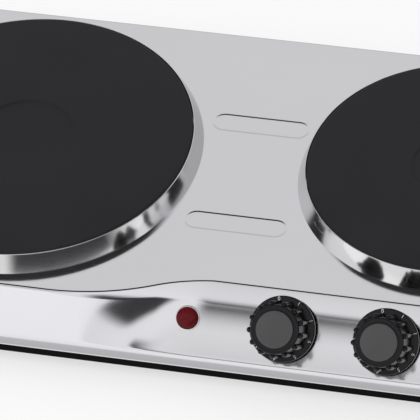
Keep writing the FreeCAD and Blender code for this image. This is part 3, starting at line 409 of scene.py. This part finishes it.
def outlineAt(level):
    # one level line of the housing, anticlockwise from the end of the S, with the same points at every level
    draft = housing["sideDraft"] * (1 - level)
    left, right = flangeLeft + draft, flangeRight - draft
    leftFront, rightFront = frontLine(level)
    corner = housing["corner"] + housing["sideDraft"] * level
    start, middle, end = swoopStart, swoopMid, housing["swoopEnd"]
    sweep = 2 * math.atan((rightFront - leftFront) / (end - start))
    points = []

    def line(x0, y0, x1, y1, count):
        for t in np.arange(count) / count:
            points.append((x0 + (x1 - x0) * t, y0 + (y1 - y0) * t))

    def arc(cx, cy, radius, a0, a1, count):
        for t in np.arange(count) / count:
            turn = math.radians(a0 + (a1 - a0) * t)
            points.append((cx + radius * math.cos(turn), cy + radius * math.sin(turn)))

    bow = housing["bow"]
    line(end, rightFront, right - corner, rightFront, housing["front"])
    arc(right - corner, rightFront + corner, corner, -90, 0, bow)
    line(right, rightFront + corner, right, backY - corner, housing["right"])
    arc(right - corner, backY - corner, corner, 0, 90, bow)
    line(right - corner, backY, left + corner, backY, housing["back"])
    arc(left + corner, backY - corner, corner, 90, 180, bow)
    line(left, backY - corner, left, leftFront + corner, housing["left"])
    arc(left + corner, leftFront + corner, corner, 180, 270, bow)
    line(left + corner, leftFront, start, leftFront, housing["frontLeft"])
    turnDegrees = math.degrees(sweep)
    if sweep > housing["leastSweep"]:
        longRadius = housing["swoopLong"] / math.sin(sweep)
        shortRadius = housing["swoopShort"] / math.sin(sweep)
        arc(start, leftFront + longRadius, longRadius, -90, -90 + turnDegrees, housing["longArc"])
        arc(end, rightFront - shortRadius, shortRadius, 90 + turnDegrees, 90, housing["shortArc"])
    else:
        line(start, leftFront, middle, leftFront, housing["longArc"])
        line(middle, leftFront, end, rightFront, housing["shortArc"])
    return np.array(points)


def panelPlace(x):
    # the frame on the panel's face at the controls' height, for the lamps
    def frontAt(level):
        leftFront, rightFront = frontLine(level)
        run = housing["swoopEnd"] - x
        if run <= 0:
            return rightFront, 0.0
        sweep = 2 * math.atan((rightFront - leftFront) / (housing["swoopEnd"] - swoopStart))
        radius = housing["swoopShort"] / math.sin(sweep)
        depth = math.sqrt(radius ** 2 - run ** 2)
        return rightFront - radius + depth, run / depth
    level = housing["controlLevel"]
    y, slope = frontAt(level)
    along = Vector((1, slope, 0)).normalized()
    probe = housing["levelProbe"]
    run = frontAt(level - probe)[0] - frontAt(level + probe)[0]
    up = Vector((0, run, 2 * probe * housing["panelDrop"]))
    out = along.cross(up).normalized()
    z = housing["deckZ"] - level * housing["panelDrop"]
    return facing(Vector(((x + originShift[0]) * mm, (y + originShift[1]) * mm, z * mm)), along, out)


def housingRows():
    # the sheet's level rows from the deck over the lip, down the panel and round the hem
    wallSteps = housing["levels"]
    levels = np.linspace(0, 1, wallSteps + 1)
    outlines = np.array([outlineAt(level) for level in levels])
    base = outlines[0]
    count = len(base)
    ahead = np.roll(base, -1, axis=0) - np.roll(base, 1, axis=0)
    ahead /= np.linalg.norm(ahead, axis=1)[:, None]
    out = np.stack([ahead[:, 1], -ahead[:, 0]], axis=1)
    share = np.clip((base[:, 0] - swoopStart) / (housing["swoopEnd"] - swoopStart), 0, 1)
    fadeFrom = housing["fadeFrom"]
    back = np.clip((base[:, 1] - fadeFrom) / (backY - housing["corner"] - fadeFrom), 0, 1)
    blend = share * (1 - back)
    drift = outlines - base[None]
    outward = np.einsum("lci,ci->lc", drift, out)
    depth = levels * housing["panelDrop"]
    lean = np.gradient(outward, depth, axis=0)
    cols = np.arange(count)
    thinLip = housing["thinLip"]
    touch = (thinLip + (housing["wideLip"] - thinLip) * blend) / housing["panelDrop"]

    def ofWall(table, level):
        # a table's value in every column at its own level
        spot = np.clip(level * wallSteps, 0, wallSteps)
        lower = np.minimum(spot.astype(int), wallSteps - 1)
        part = spot - lower
        return table[lower, cols] * (1 - part) + table[lower + 1, cols] * part

    def onWall(level):
        xy = np.column_stack([ofWall(outlines[:, :, 0], level), ofWall(outlines[:, :, 1], level)])
        return np.column_stack([xy, housing["deckZ"] - level * housing["panelDrop"]])

    endTurn = math.pi / 2 - np.arctan(ofWall(lean, touch))
    creaseTurn = housing["creaseTurn"] + housing["creaseMore"] * (1 - blend)
    bendTurn = np.minimum(creaseTurn, housing["creaseMost"] * endTurn)
    mostRoll = housing["creaseFall"] * touch * housing["panelDrop"] / (1 - np.cos(bendTurn))
    tight = np.minimum(housing["creaseRoll"], mostRoll)
    # crease, slow roll and a closer roll into the panel
    lateTurn = endTurn - np.minimum(housing["lateTurn"], housing["lateMost"] * (endTurn - bendTurn))
    late = housing["lateShare"]
    fallShare = np.cos(bendTurn) - np.cos(lateTurn) + late * (np.cos(lateTurn) - np.cos(endTurn))
    slow = (touch * housing["panelDrop"] - tight * (1 - np.cos(bendTurn))) / fallShare
    runShare = np.sin(lateTurn) - np.sin(bendTurn) + late * (np.sin(endTurn) - np.sin(lateTurn))
    reach = tight * np.sin(bendTurn) + slow * runShare
    crease = ofWall(outward, touch) - reach
    rows = []
    for inset in housing["deckInsets"]:
        flat = base + out * (crease - inset)[:, None]
        rows.append(np.column_stack([flat, np.full(count, housing["deckZ"])]))
    turns = [bendTurn * t for t in np.linspace(0, 1, housing["creaseSteps"] + 1)]
    turns += [bendTurn + (lateTurn - bendTurn) * t for t in np.linspace(0, 1, housing["slowSteps"] + 1)[1:]]
    turns += [lateTurn + (endTurn - lateTurn) * t for t in np.linspace(0, 1, housing["lateSteps"] + 1)[1:]]
    for turn in turns:
        first = np.minimum(turn, bendTurn)
        second = np.minimum(turn, lateTurn)
        runOut = np.sin(second) - np.sin(first) + late * (np.sin(turn) - np.sin(second))
        across = crease + tight * np.sin(first) + slow * runOut
        fallen = np.cos(first) - np.cos(second) + late * (np.cos(second) - np.cos(turn))
        fall = tight * (1 - np.cos(first)) + slow * fallen
        wall = onWall(fall / housing["panelDrop"])
        slide = wall[:, :2] - base
        slide -= out * np.einsum("ci,ci->c", slide, out)[:, None]
        rows.append(np.column_stack([base + out * across[:, None] + slide, housing["deckZ"] - fall]))
    stop = 1 - housing["bendRoll"] / housing["panelDrop"]
    for t in np.linspace(0, 1, housing["panelSteps"] + 1)[1:]:
        rows.append(onWall(touch + (stop - touch) * t))
    bend = onWall(np.ones(count))
    above = rows[-1]
    below = bend - np.array([0, 0, housing["bendRoll"]])
    for t in np.linspace(0, 1, housing["bendSteps"] + 1)[1:]:
        rows.append(above * (1 - t) ** 2 + bend * 2 * t * (1 - t) + below * t ** 2)
    hem = bend.copy()
    last = outlines[-1]
    run = np.roll(last, -1, axis=0) - np.roll(last, 1, axis=0)
    run /= np.linalg.norm(run, axis=1)[:, None]
    side = np.stack([run[:, 1], -run[:, 0]], axis=1)
    for fall, inset in housing["hemRoll"]:
        hem[:, :2] = last - side * inset
        hem[:, 2] = housing["hemZ"] + fall
        rows.append(hem.copy())
    return rows


def housingShell():
    rows = housingRows()
    count = len(rows[0])
    work = bmesh.new()

    def place(point):
        return ((point[0] + originShift[0]) * mm, (point[1] + originShift[1]) * mm, point[2] * mm)

    grid = [[work.verts.new(place(p)) for p in row] for row in rows]
    for upper, lower in zip(grid, grid[1:]):
        for j in range(count):
            k = (j + 1) % count
            work.faces.new((upper[j], lower[j], lower[k], upper[k]))

    def ringOf(points):
        return [work.verts.new(place(p)) for p in points]

    def edgesOf(ring):
        edges = []
        for a, b in zip(ring, ring[1:] + ring[:1]):
            edges.append(work.edges.get((a, b)) or work.edges.new((a, b)))
        return edges

    deckZ = housing["deckZ"]
    borders = edgesOf(grid[0])
    for centre, radius in ((largeCentre, housing["largeRadius"]), (smallCentre, housing["smallRadius"])):
        hole = radius - housing["holeLip"]
        cx, cy = centre.x / mm - originShift[0], centre.y / mm - originShift[1]
        turns = np.linspace(0, 2 * math.pi, housing["holeSteps"], endpoint=False)
        # two flat bands round the hole, both under the rim, keep its edge out of the deck's shading
        rings = []
        for grow in housing["holeBands"]:
            reach = hole + grow
            rings.append(ringOf([(cx + reach * math.cos(a), cy + reach * math.sin(a), deckZ) for a in turns]))
        for inner, outer in zip(rings, rings[1:]):
            for j in range(len(inner)):
                k = (j + 1) % len(inner)
                work.faces.new((inner[j], outer[j], outer[k], inner[k]))
        borders += edgesOf(rings[-1])
    depth, roll = housing["slotDepth"], housing["slotRoll"]
    margin = housing["slotMargin"] * roll
    steps = [(margin, 0.0)]
    for t in np.linspace(0, math.pi, housing["slotSteps"]):
        steps.append((roll * math.cos(t), depth * (1 - math.cos(t)) / 2))
    steps.append((-margin, depth))
    for slotX, slotY, length in housing["slots"]:
        reach = (length - housing["slotWidth"]) / 2
        rings = []
        for grow, fall in steps:
            radius = housing["slotWidth"] / 2 + grow
            points = []
            for side, start in ((1, -90), (-1, 90)):
                for a in np.radians(np.linspace(start, start + 180, housing["slotBow"])):
                    x = slotX + side * reach + radius * math.cos(a)
                    points.append((x, slotY + radius * math.sin(a), deckZ - fall))
            rings.append(ringOf(points))
        for outer, inner in zip(rings, rings[1:]):
            for j in range(len(outer)):
                k = (j + 1) % len(outer)
                work.faces.new((outer[j], outer[k], inner[k], inner[j]))
        work.faces.new(rings[-1])
        borders += edgesOf(rings[0])
    bmesh.ops.triangle_fill(work, use_beauty=True, edges=borders, normal=(0, 0, 1))
    work.normal_update()
    deckFloor = (deckZ - housing["nearDeck"]) * mm
    for face in work.faces:
        if face.normal.z < housing["downward"] and min(v.co.z for v in face.verts) > deckFloor:
            face.normal_flip()
    mesh = bpy.data.meshes.new("housingShell")
    work.to_mesh(mesh)
    work.free()
    shell = finishMesh("housingShell", mesh, housing["sharpAngle"])
    wall = shell.modifiers.new("sheet", "SOLIDIFY")
    wall.thickness = housing["steel"] * mm
    wall.offset = -1
    return shell


shell = stands(housingShell(), fixedBody, "polished_steel", "top_housing")
print("housing: %d faces" % len(shell.data.polygons))


# cast-iron plates in their steel rims
plateLook = {
    "rise": 10.3, "edge": 1.3, "ledge": 2.0, "ledgeRoll": 0.2, "segments": 192,
    "recess": {"large": 25.5, "small": 22.0}, "recessDepth": 0.8, "recessRun": 1.1, "recessRoll": 0.6,
    # the ring under the disc that stands in the deck's hole
    "collarOut": 8.0, "collarIn": 14.0, "collarFoot": -10.0,
    # the rim's sheet
    "gap": 0.3, "lip": 0.4, "lipDrop": 0.5, "lipRollIn": 0.3, "lipRollOut": 0.4,
    "seat": 4.0, "seatFoot": 1.2, "footWidth": 0.8,
}


def burner(label, centre, radius):
    place = Matrix.Translation((centre.x, centre.y, housing["deckZ"] * mm))
    look = plateLook
    rise, ledge, recess = look["rise"], look["ledge"], look["recess"][label]
    deep = rise - look["recessDepth"]
    collarOut, collarIn = radius - look["collarOut"], radius - look["collarIn"]
    line = rounded([
        (0, deep), (recess - look["recessRun"], deep, look["recessRoll"]), (recess, rise, look["recessRoll"]),
        (radius, rise, look["edge"]), (radius, ledge, look["ledgeRoll"]), (collarOut, ledge),
        (collarOut, look["collarFoot"]), (collarIn, look["collarFoot"]), (collarIn, ledge), (0, ledge)])
    plate = lathe(label + "PlateDisc", line, place, look["segments"])
    stands(plate, fixedBody, "cast_iron", label + "_plate")
    inside = radius + look["gap"]
    foot = radius + housing["ringFlare"]
    top = rise - look["lipDrop"]
    slope = (foot - inside - look["lip"]) / top
    seat, seatFoot = radius - look["seat"], look["seatFoot"]
    footIn = foot - look["footWidth"]
    ring = rounded([
        (seat, ledge), (inside, ledge), (inside, top, look["lipRollIn"]),
        (inside + look["lip"], top, look["lipRollOut"]), (foot, 0.0),
        (footIn, 0.0), (footIn - seatFoot * slope, seatFoot), (seat, seatFoot)])
    rim = lathe(label + "Rim", ring, place, look["segments"], closed=True)
    stands(rim, fixedBody, "trim_steel", label + "_trim_ring")


burner("large", largeCentre, housing["largeRadius"])
burner("small", smallCentre, housing["smallRadius"])
print("plates and rims made")


def repeated(name, source, count, finish):
    # one piece repeated round the Z axis, as a mesh
    tree = bpy.data.node_groups.new(name + "Repeat", "GeometryNodeTree")
    tree.interface.new_socket("Geometry", in_out="OUTPUT", socket_type="NodeSocketGeometry")
    countSocket = tree.interface.new_socket("Count", in_out="INPUT", socket_type="NodeSocketInt")
    pieceSocket = tree.interface.new_socket("Piece", in_out="INPUT", socket_type="NodeSocketObject")
    given = tree.nodes.new("NodeGroupInput")
    result = tree.nodes.new("NodeGroupOutput")
    spots = tree.nodes.new("GeometryNodePoints")
    info = tree.nodes.new("GeometryNodeObjectInfo")
    index = tree.nodes.new("GeometryNodeInputIndex")
    step = mathNode(tree, "DIVIDE", 2 * math.pi)
    turn = mathNode(tree, "MULTIPLY")
    spin = tree.nodes.new("ShaderNodeCombineXYZ")
    copies = tree.nodes.new("GeometryNodeInstanceOnPoints")
    joined = tree.nodes.new("GeometryNodeRealizeInstances")
    paint = tree.nodes.new("GeometryNodeSetMaterial")
    paint.inputs["Material"].default_value = finish
    links = tree.links
    links.new(given.outputs["Count"], spots.inputs["Count"])
    links.new(given.outputs["Count"], step.inputs[1])
    links.new(given.outputs["Piece"], info.inputs["Object"])
    links.new(index.outputs["Index"], turn.inputs[0])
    links.new(step.outputs["Value"], turn.inputs[1])
    links.new(turn.outputs["Value"], spin.inputs["Z"])
    links.new(spots.outputs["Points"], copies.inputs["Points"])
    links.new(info.outputs["Geometry"], copies.inputs["Instance"])
    links.new(spin.outputs["Vector"], copies.inputs["Rotation"])
    links.new(copies.outputs["Instances"], joined.inputs["Geometry"])
    links.new(joined.outputs["Geometry"], paint.inputs["Geometry"])
    links.new(paint.outputs["Geometry"], result.inputs["Geometry"])
    holder = bpy.data.objects.new(name, bpy.data.meshes.new(name))
    scene.collection.objects.link(holder)
    modifier = holder.modifiers.new("repeat", "NODES")
    modifier.node_group = tree
    modifier[countSocket.identifier] = count
    modifier[pieceSocket.identifier] = source
    view = bpy.context.evaluated_depsgraph_get()
    mesh = bpy.data.meshes.new_from_object(holder.evaluated_get(view))
    bpy.data.objects.remove(holder)
    bpy.data.objects.remove(source)
    return mesh


# knobs: a skirted grip with ribs, a domed cap and a printed dial
knobLook = {
    "lift": 3.2, "height": 24.5, "skirt": 17.0, "skirtTop": 5.6, "skirtFall": 0.15, "skirtDepth": 1.1,
    "root": 13.2, "front": 12.6, "wall": 2.2, "roof": 4.0, "segments": 128,
    "frontRoll": 0.9, "skirtRoll": 0.7, "footRoll": 0.3,
    # the hub inside, with the bore for the shaft
    "hub": 6.0, "hubFoot": 5.5, "bore": 3.05, "boreTop": 16.1,
    "cap": 9.6, "capTop": 25.55, "capGap": 0.05, "capSeat": 1.0, "capFoot": 0.95, "seatRoll": 0.25,
    "dome": ((3.0, 0.04), (6.0, 0.16)), "capEdge": 0.45, "capSegments": 96,
    "ribs": 13, "ribRadius": 1.5, "ribCircle": 13.3, "ribShort": 0.85, "ribSunk": 0.2, "ribSegments": 20,
    "ribTurns": (20, 40, 60, 78, 90),
    "marks": 9, "digits": 7, "dialRadius": 15.55, "digitSize": 2.7, "dialStart": 102.0, "dialStep": 40.0,
    "printHalf": 0.00004, "printLift": 0.00003,
}


def ribPiece():
    # a straight rib with a rounded front end, standing at its radius
    size = knobLook["ribRadius"]
    end = knobLook["height"] - knobLook["ribShort"]
    line = [(size, knobLook["skirtTop"] - knobLook["ribSunk"]), (size, end - size)]
    for t in np.radians(knobLook["ribTurns"]):
        line.append((size * math.cos(t), end - size + size * math.sin(t)))
    place = Matrix.Translation((0, -knobLook["ribCircle"] * mm, 0))
    return lathe("knobRib", line, place, knobLook["ribSegments"])


def dialMarks():
    # digits 0 to 6 and two plain strokes round the skirt
    points, faces = [], []

    def add(mesh, place):
        first = len(points)
        points.extend(place @ vertex.co for vertex in mesh.vertices)
        faces.extend([first + i for i in polygon.vertices] for polygon in mesh.polygons)

    for k in range(knobLook["marks"]):
        angle = math.radians(knobLook["dialStart"] + knobLook["dialStep"] * k)
        words = bpy.data.curves.new("digit", "FONT")
        words.body = str(k) if k < knobLook["digits"] else "I"
        words.size = knobLook["digitSize"] * mm
        words.align_x = "CENTER"
        words.align_y = "CENTER"
        words.extrude = knobLook["printHalf"]
        text = bpy.data.objects.new("digit", words)
        scene.collection.objects.link(text)
        view = bpy.context.evaluated_depsgraph_get()
        mesh = bpy.data.meshes.new_from_object(text.evaluated_get(view))
        bpy.data.objects.remove(text)
        spot = Vector((math.cos(angle), math.sin(angle), 0)) * knobLook["dialRadius"] * mm
        spot.z = knobLook["skirtTop"] * mm + knobLook["printLift"]
        add(mesh, Matrix.Translation(spot) @ Matrix.Rotation(angle - math.pi / 2, 4, "Z"))
    return points, faces


def makeKnob(side):
    joint = joints[side + "_knob_turn"]
    body = side + "_knob_assembly"
    place = facing(Vector(joint["pos_m"]), (1, 0, 0), joint["axis"])
    k = knobLook
    top, skirt, skirtTop = k["height"], k["skirt"], k["skirtTop"]
    capHole, capFloor = k["cap"] + k["capGap"], top - k["capSeat"]
    skirtIn, wallIn, roof = skirt - k["wall"], k["front"] - k["wall"], top - k["roof"]
    foot = k["footRoll"]
    line = rounded([
        (0, capFloor), (capHole, capFloor), (capHole, top, k["seatRoll"]),
        (k["front"], top, k["frontRoll"]), (k["root"], skirtTop, k["skirtRoll"]),
        (skirt, skirtTop - k["skirtFall"], k["skirtRoll"]), (skirt, k["lift"], foot),
        (skirtIn, k["lift"], foot), (skirtIn, skirtTop - k["skirtDepth"], foot),
        (wallIn, skirtTop), (wallIn, roof), (k["hub"], roof), (k["hub"], k["hubFoot"]),
        (k["bore"], k["hubFoot"]), (k["bore"], k["boreTop"]), (0, k["boreTop"])])
    grip = lathe(side + "KnobGrip", line, place, k["segments"])
    stands(grip, body, "knob_black", side + "_knob")
    ribs = repeated(side + "KnobRibs", ribPiece(), k["ribs"], finishes["knob_black"])
    ribs.transform(place)
    stands(finishMesh(side + "KnobRibs", ribs), body, "knob_black")
    capTop, capFoot = k["capTop"], top - k["capFoot"]
    cap = [(0, capTop)] + [(across, capTop - fall) for across, fall in k["dome"]]
    cap += [(k["cap"], capTop - k["capEdge"], k["capEdge"]), (k["cap"], capFoot), (0, capFoot)]
    dome = lathe(side + "KnobCapDome", rounded(cap), place, k["capSegments"])
    stands(dome, body, "cap_grey", side + "_knob_cap")
    points, faces = dialMarks()
    marks = meshObject(side + "DialMarks", [place @ point for point in points], faces)
    stands(marks, body, "white_plastic")


for side in ("left", "right"):
    makeKnob(side)
print("knobs made")


# pilot lamps: a red domed lens in a thin bright collar
lampLook = {
    "lift": 0.5, "lens": 5.6, "edge": 1.2, "dome": 2.0, "domeTurn": 1.25, "domeSteps": 10,
    "gap": 0.1, "collar": 0.6, "collarHeight": 1.3, "rollOut": 0.3, "rollIn": 0.2, "rollSteps": 4,
    "segments": 64, "xs": (109.35, 263.65),
}


def makeLamp(side, x):
    look = lampLook
    place = panelPlace(x)
    low, top = look["lift"], look["lift"] + look["edge"]
    radius, rise, full = look["lens"], look["dome"], look["domeTurn"]
    line = []
    for t in np.linspace(0, full, look["domeSteps"]):
        up = top + rise * (math.cos(t) - math.cos(full)) / (1 - math.cos(full))
        line.append((radius * math.sin(t) / math.sin(full), up))
    line += [(radius, low), (0, low)]
    lens = lathe(side + "LampDome", line, place, look["segments"])
    stands(lens, fixedBody, "lens_red", side + "_lamp_lens")
    inner = radius + look["gap"]
    outer = inner + look["collar"]
    high = low + look["collarHeight"]
    ring = rounded([
        (inner, low), (outer, low), (outer, high, look["rollOut"]), (inner, high, look["rollIn"]),
        (inner, low)], look["rollSteps"])
    collar = lathe(side + "LampCollar", ring, place, look["segments"])
    stands(collar, fixedBody, "bezel_chrome", side + "_lamp_bezel")


for side, x in zip(("left", "right"), lampLook["xs"]):
    makeLamp(side, x)
print("lamps made")


# studio: a pale floor, and a surround of bright and dark zones for the steel to mirror
studio = {
    "floorFront": -1.6, "floorBack": 1.4, "floorSide": 1.6, "floorTone": 0.35, "floorRough": 0.9,
    "shownGlow": 0.62, "plain": 0.8,
    "keyPower": 9.0, "keyPlace": (-0.7, -0.9, 1.3), "keySize": 0.9,
}


def floorMaterial():
    material, tree, shader = newMaterial("paleFloor")
    links = tree.links
    shader.inputs["Base Color"].default_value = (studio["floorTone"],) * 3 + (1,)
    shader.inputs["Roughness"].default_value = studio["floorRough"]
    path = tree.nodes.new("ShaderNodeLightPath")
    glow = mathNode(tree, "MULTIPLY", None, studio["shownGlow"])
    # the same white in the picture, in the steel and through the lenses
    seen = path.outputs["Is Camera Ray"]
    for kind in ("Is Glossy Ray", "Is Transmission Ray"):
        either = mathNode(tree, "MAXIMUM")
        links.new(seen, either.inputs[0])
        links.new(path.outputs[kind], either.inputs[1])
        seen = either.outputs["Value"]
    links.new(seen, glow.inputs[0])
    shader.inputs["Emission Color"].default_value = (1, 1, 1, 1)
    links.new(glow.outputs["Value"], shader.inputs["Emission Strength"])
    return material


def makeFloor():
    x, front, back = studio["floorSide"], studio["floorFront"], studio["floorBack"]
    mesh = bpy.data.meshes.new("floor")
    mesh.from_pydata([(-x, front, 0), (x, front, 0), (x, back, 0), (-x, back, 0)], [], [(0, 1, 2, 3)])
    floor = bpy.data.objects.new("floor", mesh)
    scene.collection.objects.link(floor)
    mesh.materials.append(floorMaterial())


# the surround's tones: arch runs over the top from the back horizon to the front one,
# the flags and the strip run round the front
surround = {
    "arch": ((0.0, 0.50), (0.17, 0.55), (0.222, 0.64), (0.243, 0.74), (0.30, 0.72), (0.335, 0.03),
             (0.61, 0.03), (0.65, 0.76), (0.72, 0.84), (0.80, 0.92), (0.90, 0.90), (1.0, 0.85)),
    "flag": ((0.0, 0.0), (0.497, 0.0), (0.513, 1.0), (0.66, 1.0), (0.70, 0.0), (1.0, 0.0)),
    "flagLean": -0.25, "flagEdge": (0.37, 0.27), "flagTone": (0.045, 0.045, 0.047, 1),
    "strip": ((0.0, 0.0), (0.417, 0.0), (0.433, 1.0), (0.470, 1.0), (0.487, 0.0), (1.0, 0.0)),
    "stripRise": ((0.46, 0.0), (0.495, 1.0), (0.54, 1.0), (0.62, 0.55), (0.69, 0.2), (0.75, 0.0)),
    "stripTone": (0.10, 0.10, 0.104, 1),
    "ground": (1, 1, 1, 1),
}


def makeSurround():
    world = bpy.data.worlds.new("studioSurround")
    scene.world = world
    world.use_nodes = True
    tree = world.node_tree
    links = tree.links
    background = tree.nodes["Background"]

    def product(first, second):
        node = mathNode(tree, "MULTIPLY")
        links.new(first, node.inputs[0])
        links.new(second, node.inputs[1])
        return node.outputs["Value"]

    def laidOver(below, tone, mask):
        # a tone laid over what is below it, where the mask is 1
        node = tree.nodes.new("ShaderNodeMix")
        node.data_type = "RGBA"
        node.inputs["B"].default_value = tone
        links.new(mask, node.inputs["Factor"])
        links.new(below, node.inputs["A"])
        return node.outputs["Result"]

    where = tree.nodes.new("ShaderNodeTexCoord")
    split = tree.nodes.new("ShaderNodeSeparateXYZ")
    links.new(where.outputs["Generated"], split.inputs["Vector"])
    # angle over the top: 0 at the back horizon, 0.5 overhead, 1 at the front horizon
    over = mathNode(tree, "ARCTAN2")
    links.new(split.outputs["Z"], over.inputs[0])
    links.new(split.outputs["Y"], over.inputs[1])
    scale = mathNode(tree, "DIVIDE", None, math.pi)
    links.new(over.outputs["Value"], scale.inputs[0])
    arch = greyRamp(tree, surround["arch"])
    links.new(scale.outputs["Value"], arch.inputs["Fac"])
    # angle round the upright, 0.5 straight in front
    behind = mathNode(tree, "MULTIPLY", None, -1)
    links.new(split.outputs["Y"], behind.inputs[0])
    turn = mathNode(tree, "ARCTAN2")
    links.new(split.outputs["X"], turn.inputs[0])
    links.new(behind.outputs["Value"], turn.inputs[1])
    span = tree.nodes.new("ShaderNodeMapRange")
    span.inputs["From Min"].default_value = -math.pi
    span.inputs["From Max"].default_value = math.pi
    links.new(turn.outputs["Value"], span.inputs["Value"])
    # a dark flag at the front right, whose upper edge climbs to the right
    flag = greyRamp(tree, surround["flag"])
    links.new(span.outputs["Result"], flag.inputs["Fac"])
    edge = mathNode(tree, "MULTIPLY_ADD", None, surround["flagLean"])
    links.new(turn.outputs["Value"], edge.inputs[0])
    links.new(split.outputs["Z"], edge.inputs[2])
    low = tree.nodes.new("ShaderNodeMapRange")
    low.inputs["From Min"].default_value = surround["flagEdge"][0]
    low.inputs["From Max"].default_value = surround["flagEdge"][1]
    links.new(edge.outputs["Value"], low.inputs["Value"])
    # a second flag, seen in the top of the panel
    strip = greyRamp(tree, surround["strip"])
    links.new(span.outputs["Result"], strip.inputs["Fac"])
    rise = greyRamp(tree, surround["stripRise"])
    links.new(split.outputs["Z"], rise.inputs["Fac"])
    # below the horizon the surround is plain white, as if the floor went on
    under = mathNode(tree, "LESS_THAN", None, 0.0)
    links.new(split.outputs["Z"], under.inputs[0])
    veil = product(strip.outputs["Color"], rise.outputs["Color"])
    shade = product(flag.outputs["Color"], low.outputs["Result"])
    sky = laidOver(arch.outputs["Color"], surround["stripTone"], veil)
    sky = laidOver(sky, surround["flagTone"], shade)
    sky = laidOver(sky, surround["ground"], under.outputs["Value"])
    # matt surfaces get an even light
    path = tree.nodes.new("ShaderNodeLightPath")
    even = laidOver(sky, (studio["plain"],) * 3 + (1,), path.outputs["Is Diffuse Ray"])
    links.new(even, background.inputs["Color"])
    background.inputs["Strength"].default_value = 1.0


def makeKey():
    lamp = bpy.data.lights.new("keySoftbox", "AREA")
    lamp.energy = studio["keyPower"]
    lamp.size = studio["keySize"]
    key = bpy.data.objects.new("keySoftbox", lamp)
    scene.collection.objects.link(key)
    key.visible_glossy = False
    key.location = studio["keyPlace"]
    key.rotation_euler = (-Vector(studio["keyPlace"])).to_track_quat("-Z", "Y").to_euler()


makeFloor()
makeSurround()
makeKey()
print("studio set")
